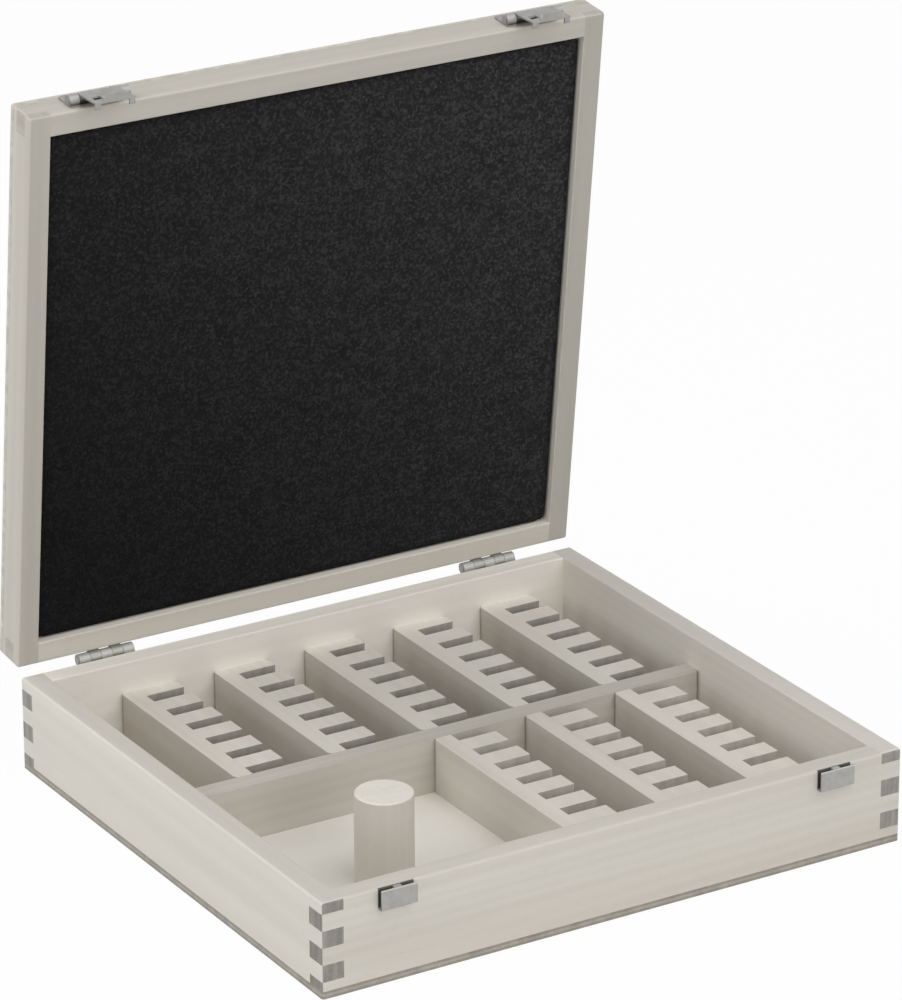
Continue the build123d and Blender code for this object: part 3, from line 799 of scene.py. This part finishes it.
@dataclass
class CaseLid:
    """Rails, panel and foam pad of the lid, which leans over the hinges."""

    # The lid's wood is a little darker than the body's, partly painted shade for the lid standing further
    # from the lamps.
    wood: WoodFinish = WoodFinish(light=(0.68, 0.645, 0.58), dark=(0.55, 0.51, 0.45), end_tone=0.78,
                                  end_bands=(0.92, 1.04))
    # Each rail's node, grain, painted light on the rim, and way and painted light on the side; a factor under
    # 1 is painted shade.
    rails: Sequence[tuple[str, Grain, float, float, float]] = (
        ("lid_front_rail", Grain.LID_ALONG_X, 0.82, -1.0, 0.90),
        ("lid_back_rail", Grain.LID_ALONG_X, 0.97, -1.0, 1.28),
        ("lid_left_rail", Grain.LID_ALONG_Y, 0.79, 1.0, 0.96),
        ("lid_right_rail", Grain.LID_ALONG_Y, 0.70, 1.0, 1.28),
    )
    first_rail_seed: int = 21
    veneer: VeneerFinish = VeneerFinish(edge=(0.58, 0.545, 0.48), edge_core=(0.66, 0.62, 0.555))
    veneer_shift: Triple = (0.8, 0.4, 0.0)

    # Foam pad: its rounded edge, how much lower its faces lie there, and the waves and width of the edge.
    foam: FoamFinish = FoamFinish()
    edge_round: float = 1.6 * MM
    crown: float = 0.7 * MM
    crown_power: int = 6
    edge_wave: float = 0.25 * MM
    wave_counts: Range = (7.0, 17.0)
    wave_lag: float = 1.0
    border_width: float = 3.0 * MM
    corner_order: float = 90.0
    around: int = 480
    across: int = 46
    edge_steps: int = 8

    def build(self) -> None:
        """Dress the lid's wood and make its foam pad."""
        # Each rail gets painted light and shade on its rim and one side.
        for seed, (node, grain, rim_painted_light, side_way, side_painted_light) in enumerate(self.rails, self.first_rail_seed):
            wood = replace(self.wood, rim_painted_light=rim_painted_light, side_way=side_way, side_painted_light=side_painted_light)
            Board(node, wood, grain, seed).finish()
        dress("lid_panel", self.veneer.make("lid_panel", Grain.LID_ALONG_X.value, self.veneer_shift))
        self.foam_pad()

    def pad_outline(self) -> tuple[np.ndarray, np.ndarray, np.ndarray]:
        """Work out the foam pad's outline, a superellipse of a high order: a rectangle with round corners.

        Returns:
            For each step round it, the share of the half width, the share of the half height, and the
            wave of the cut edge, which is 0 or less.
        """
        angle = np.linspace(0.0, 2.0 * math.pi, self.around, endpoint=False)
        power = 2.0 / self.corner_order
        side = np.sign(np.cos(angle)) * np.abs(np.cos(angle)) ** power
        rise = np.sign(np.sin(angle)) * np.abs(np.sin(angle)) ** power
        slow, quick = self.wave_counts
        waves = np.sin(slow * angle) + np.sin(quick * angle + self.wave_lag)
        return side, rise, self.edge_wave * waves / 2.0 - self.edge_wave

    def pad_profile(self, half_w: float, half_t: float) -> tuple[np.ndarray, np.ndarray]:
        """Work out the foam pad's profile, from the middle of one face, round the edge, to the other middle.

        Args:
            half_w: Half of the pad's width.
            half_t: Half of the pad's thickness.

        Returns:
            For each step, the share of the way out to the cut edge, and the level.
        """
        flat_part = np.linspace(0.0, 1.0, self.across)
        turn = np.linspace(0.0, math.pi / 2.0, self.edge_steps)[1:]
        inset = np.concatenate([(1.0 - flat_part) * (half_w - self.edge_round) + self.edge_round,
                                self.edge_round * (1.0 - np.sin(turn))])
        drop = np.concatenate([np.zeros(self.across), self.edge_round * (1.0 - np.cos(turn))])
        inset = np.concatenate([inset, inset[::-1][1:]])
        level = np.concatenate([half_t - drop, (drop - half_t)[::-1][1:]])
        share = 1.0 - inset / half_w
        return share, level - np.sign(level) * self.crown * share ** self.crown_power

    def foam_pad(self) -> None:
        """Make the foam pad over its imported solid, as a profile that is carried round an outline.

        Both faces fall a little towards the cut edge, which waves slightly.
        """
        mesh = frame["nodes"]["foam_pad"].data
        places = np.unique(np.round([tuple(vertex.co) for vertex in mesh.vertices], 6), axis=0)
        centre = places.mean(axis=0)
        spread = places - centre
        up = spread[spread[:, 2] > 0].mean(axis=0)
        up /= np.linalg.norm(up)
        right = np.array([1.0, 0.0, 0.0])
        out = np.cross(right, up)
        half_w, half_h, half_t = (np.abs(spread @ axis).max() for axis in (right, up, out))

        side, rise, wave = self.pad_outline()
        share, level = self.pad_profile(half_w, half_t)
        x = np.outer(share, side) * half_w + np.outer(share, side) * wave
        y = np.outer(share, rise) * half_h + np.outer(share, rise) * wave
        z = np.broadcast_to(level[:, None], x.shape)
        points = centre + x[..., None] * right + y[..., None] * up + z[..., None] * out
        pad = grid_mesh("foam_lining", points, closed_v=True, poles=True)

        # How far each point lies inside the cut edge, from 0 on the edge to 1 at border_width and beyond; it
        # places the foam's painted shade.
        inside = np.minimum(half_w - np.abs(x), half_h - np.abs(y)) / self.border_width
        inside = np.clip(np.concatenate([inside[1:-1].ravel(), [1.0, 1.0]]), 0.0, 1.0)
        border = pad.data.attributes.new("border", "FLOAT", "POINT")
        border.data.foreach_set("value", inside.astype(np.float32))
        pad.data.materials.append(self.foam.make("foam_lining_skin", "border"))
        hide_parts("foam_pad")
        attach(pad, "lid")
        log.info("foam pad %.1f x %.1f x %.1f mm", *(2.0 * half / MM for half in (half_w, half_h, half_t)))


@dataclass
class Fittings:
    """Hinges, keepers, latches and their screws."""

    steel: SteelFinish = SteelFinish()
    lid_steel: SteelFinish = SteelFinish(tone=(0.31, 0.305, 0.29), rough=0.55)
    screw_steel: SteelFinish = SteelFinish(tone=(0.46, 0.455, 0.44), rough=0.45)
    # Turned Y places, from the lid's front face, between which a flap goes over to the painted shade of its
    # inner side.
    flap_shade_reach: Range = (-4.5 * MM, -3.3 * MM)

    def build(self) -> None:
        """Dress each metal piece."""
        on_body = self.steel.make("fitting_steel", Grain.ALONG_X)
        on_lid = self.lid_steel.make("lid_fitting_steel", Grain.LID_ALONG_X)
        lid_face = flat_reach("lid_front_rail", Grain.LID_ALONG_X.value, 1)[0]
        inner_shade = (lid_face + self.flap_shade_reach[0], lid_face + self.flap_shade_reach[1])
        flaps = self.lid_steel.make("flap_steel", Grain.LID_ALONG_X, inner_shade)
        screws = self.screw_steel.make("screw_steel", Grain.ALONG_Z)
        for node in sorted(frame["nodes"]):
            if node.endswith(("_screws", "_screw")):
                dress(node, screws)
            elif node.endswith("_flap"):
                dress(node, flaps)
            elif node.startswith("latch_") or node.endswith("_lid_leaf"):
                dress(node, on_lid)
            elif node.startswith(("keeper_", "hinge_")):
                dress(node, on_body)
        log.info("fittings dressed")


@dataclass(frozen=True)
class Lamp:
    """Soft square lamp that faces the case: its name, place, power in watts and side."""

    name: str
    place: Triple
    power: float
    side: float = 2.0
    aim: Triple = (0.0, 0.0, 0.1)

    def hang(self) -> None:
        """Hang the lamp in the scene."""
        data = bpy.data.lights.new(self.name, "AREA")
        data.shape = "SQUARE"
        data.size = self.side
        data.energy = self.power
        lamp = bpy.data.objects.new(self.name, data)
        lamp.location = self.place
        lamp.rotation_mode = "QUATERNION"
        lamp.rotation_quaternion = (Vector(self.aim) - Vector(self.place)).to_track_quat("-Z", "Y")
        bpy.context.scene.collection.objects.link(lamp)


@dataclass(frozen=True)
class Camera:
    """Camera where the photograph was taken from, with its angles in radians."""

    place: Triple = (-1.35278, -2.22853, 1.22708)
    turn: float = 0.5450
    tilt: float = 0.3860
    roll: float = -0.0030
    focal_pixels: float = 5614.72
    picture_height: float = 1000.0
    sensor: float = 36.0
    clip: Range = (0.05, 60.0)

    def stand(self) -> None:
        """Stand the camera in the scene and look through it."""
        turn, tilt, roll = self.turn, self.tilt, self.roll
        ahead = Vector((math.sin(turn) * math.cos(tilt), math.cos(turn) * math.cos(tilt), -math.sin(tilt)))
        level = Vector((math.cos(turn), -math.sin(turn), 0.0))
        above = level.cross(ahead)
        right = level * math.cos(roll) + above * math.sin(roll)
        up = above * math.cos(roll) - level * math.sin(roll)
        data = bpy.data.cameras.new("camera")
        data.sensor_fit = "AUTO"
        data.sensor_width = self.sensor
        data.lens = self.focal_pixels * self.sensor / self.picture_height
        data.clip_start, data.clip_end = self.clip
        camera = bpy.data.objects.new("camera", data)
        axes = Matrix((right, up, -ahead)).transposed().to_4x4()
        camera.matrix_world = Matrix.Translation(self.place) @ axes
        bpy.context.scene.collection.objects.link(camera)
        bpy.context.scene.camera = camera


@dataclass
class Studio:
    """Floor, lamps, world and camera."""

    floor_half: float = 7.0
    floor_drop: float = 0.05 * MM
    floor_tone: Colour = (0.80, 0.80, 0.80)
    floor_glow: float = 0.97
    sky: float = 0.02
    white: Colour = (1.0, 1.0, 1.0)
    viewpoint: Camera = Camera()
    lamps: Sequence[Lamp] = field(default_factory=lambda: (
        Lamp("left_light", (-3.0, 0.0, 1.2), 33.0),
        Lamp("front_light", (0.0, -3.0, 1.2), 37.5),
        Lamp("front_right_light", (1.7, -1.7, 2.2), 16.0),
        Lamp("back_left_light", (-1.7, 1.7, 2.4), 35.0),
        Lamp("top_light", (0.2, -0.5, 2.8), 19.0),
        Lamp("front_top_light", (0.0, -2.0, 2.8), 11.0),
        Lamp("front_left_light", (-1.7, -1.7, 2.6), 6.0),
    ))

    def build(self) -> None:
        """Make the floor, the light and the camera."""
        self.floor()
        self.world()
        for lamp in self.lamps:
            lamp.hang()
        self.viewpoint.stand()
        bpy.context.scene.view_settings.view_transform = "Standard"

    def floor(self) -> None:
        """Make a plain pale floor that looks white to the camera and keeps a faint shadow."""
        reach = np.linspace(-self.floor_half, self.floor_half, 3)
        x, y = np.meshgrid(reach, reach, indexing="ij")
        points = np.stack([x, y, np.full_like(x, -self.floor_drop)], axis=-1)
        ground = grid_mesh("floor", points, closed_v=False, poles=False)
        graph = material_graph("floor_paper")
        diffuse = graph.node("ShaderNodeBsdfDiffuse")
        diffuse.inputs["Color"].default_value = solid(self.floor_tone)
        glow = graph.node("ShaderNodeEmission")
        glow.inputs["Color"].default_value = solid(self.white)
        share = graph.maths("MULTIPLY", graph.seen(), self.floor_glow)
        graph.close(graph.mix_shaders(share, diffuse.outputs[0], glow.outputs[0]))
        ground.data.materials.append(graph.owner)

    def world(self) -> None:
        """Light the scene evenly, with a white background for the camera."""
        world = bpy.data.worlds.new("studio")
        graph = Graph(world)
        even = graph.node("ShaderNodeBackground")
        even.inputs["Color"].default_value = solid(self.white)
        even.inputs["Strength"].default_value = self.sky
        backdrop = graph.node("ShaderNodeBackground")
        backdrop.inputs["Color"].default_value = solid(self.white)
        mixed = graph.mix_shaders(graph.seen(), even.outputs[0], backdrop.outputs[0])
        graph.close(mixed, "ShaderNodeOutputWorld")
        bpy.context.scene.world = world


def main() -> None:
    """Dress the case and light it."""
    logging.basicConfig(level=logging.INFO, format="%(message)s")
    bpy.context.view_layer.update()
    for part in (CaseBody(), CaseLid(), Fittings(), Studio()):
        part.build()
        log.info("%s is done", type(part).__name__)


if __name__ == "__main__":
    main()
